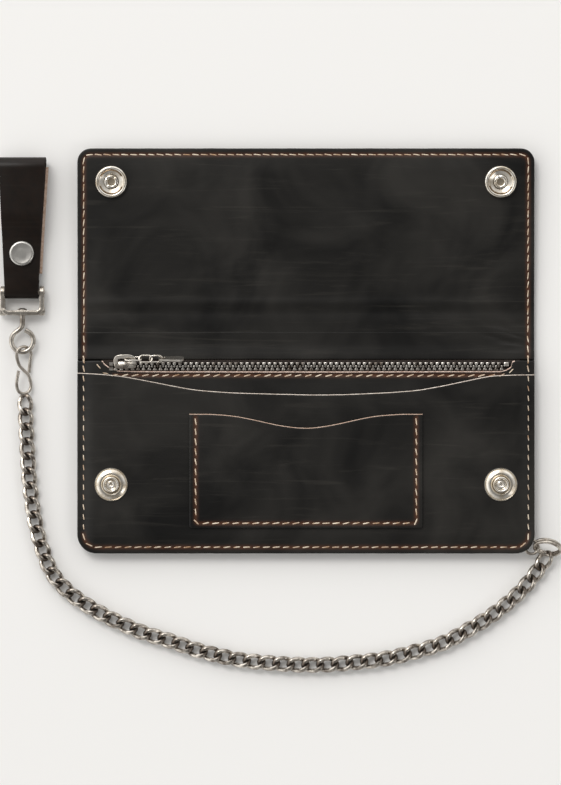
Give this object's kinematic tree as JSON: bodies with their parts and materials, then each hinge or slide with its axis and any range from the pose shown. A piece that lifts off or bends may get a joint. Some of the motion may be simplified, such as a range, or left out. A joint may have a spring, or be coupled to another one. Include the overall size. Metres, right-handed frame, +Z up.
{
  "type": "chain wallet",
  "caption": "Long leather wallet lying open, with a snapped flap, zipped coin pocket, bill and card pockets, and a curb chain ending in a swivel and leather belt loop.",
  "frame": {"origin": "centre of the back panel's underside, the face that the wallet rests on", "axes": "+X along the wallet's length to the right, +Y towards the open flap, +Z up from the back panel to the pockets"},
  "size_m": [0.2349, 0.2187, 0.0108],
  "materials": {
    "black_leather": "smooth, semi-matte, waxed",
    "lining_leather": "smooth, semi-matte",
    "polished_nickel": "polished",
    "antique_nickel": "aged, tumbled",
    "zip_metal": "bright, worn",
    "zip_tape": "woven"
  },
  "bodies": {
    "wallet": {"outer_shell_back": "black_leather", "zip_pocket_leather": "black_leather", "zip_tape_front": "zip_tape", "zip_tape_rear": "zip_tape", "zip_teeth_front": "zip_metal", "zip_teeth_rear": "zip_metal", "zip_top_stop_front": "zip_metal", "zip_top_stop_rear": "zip_metal", "zip_bottom_stop": "zip_metal", "front_panel": "black_leather", "card_pocket": "black_leather", "snap_stud_left": "polished_nickel", "snap_stud_right": "polished_nickel", "snap_post_left": "polished_nickel", "snap_post_right": "polished_nickel", "anchor_ring": "antique_nickel", "chain_tab": "black_leather", "split_ring": "antique_nickel", "chain": "antique_nickel", "s_hook": "antique_nickel", "swivel_eye": "antique_nickel"},
    "spine": {"spine_outer": "black_leather", "spine_lining": "lining_leather"},
    "flap": {"flap_outer": "black_leather", "flap_lining": "lining_leather", "snap_socket_left": "polished_nickel", "snap_socket_right": "polished_nickel", "snap_cap_left": "polished_nickel", "snap_cap_right": "polished_nickel"},
    "slider": {"zip_slider": "polished_nickel", "zip_bail": "polished_nickel"},
    "pull_link": {"pull_link_a": "polished_nickel"},
    "pull": {"pull_link_b": "polished_nickel", "pull_link_c": "polished_nickel", "pull_tag": "polished_nickel"},
    "clevis": {"swivel_clevis": "antique_nickel", "strap_bar": "antique_nickel"},
    "strap": {"belt_strap": "black_leather", "strap_cap": "polished_nickel", "strap_socket": "polished_nickel"},
    "tail": {"strap_tail": "black_leather", "strap_stud": "polished_nickel", "strap_post": "polished_nickel"}
  },
  "joints": [
    {"name": "spine_fold", "type": "hinge", "parent": "wallet", "child": "spine", "pos_m": [0, 0.042, 0.0029], "axis": [1, 0, 0], "range_deg": [0, 92.4]},
    {"name": "flap_fold", "type": "hinge", "parent": "spine", "child": "flap", "pos_m": [0, 0.0576, 0.0029], "axis": [1, 0, 0], "range_deg": [0, 92.4]},
    {"name": "zip_slide", "type": "slide", "parent": "wallet", "child": "slider", "axis": [1, 0, 0], "range_m": [0, 0.152]},
    {"name": "pull_swing", "type": "hinge", "parent": "slider", "child": "pull_link", "pos_m": [-0.0754, 0.0391, 0.00802], "axis": [0, -0.4695, 0.8829], "range_deg": [0, 180]},
    {"name": "tag_swing", "type": "hinge", "parent": "pull_link", "child": "pull", "pos_m": [-0.0684, 0.0391, 0.00802], "axis": [0, -0.8829, -0.4695], "range_deg": [0, 20]},
    {"name": "swivel_spin", "type": "hinge", "parent": "wallet", "child": "clevis", "pos_m": [-0.1183, 0.0574, 0.003], "axis": [0, 1, 0], "continuous": true},
    {"name": "strap_swing", "type": "hinge", "parent": "clevis", "child": "strap", "pos_m": [-0.1183, 0.0669, 0.003], "axis": [1, 0, 0], "range_deg": [-100, 100]},
    {"name": "loop_open", "type": "hinge", "parent": "strap", "child": "tail", "pos_m": [-0.1183, 0.119, 0.0006], "axis": [1, 0, 0], "range_deg": [0, 100]}
  ],
  "couplings": [
    {"joint": "flap_fold", "follows": "spine_fold", "ratio": 1}
  ]
}
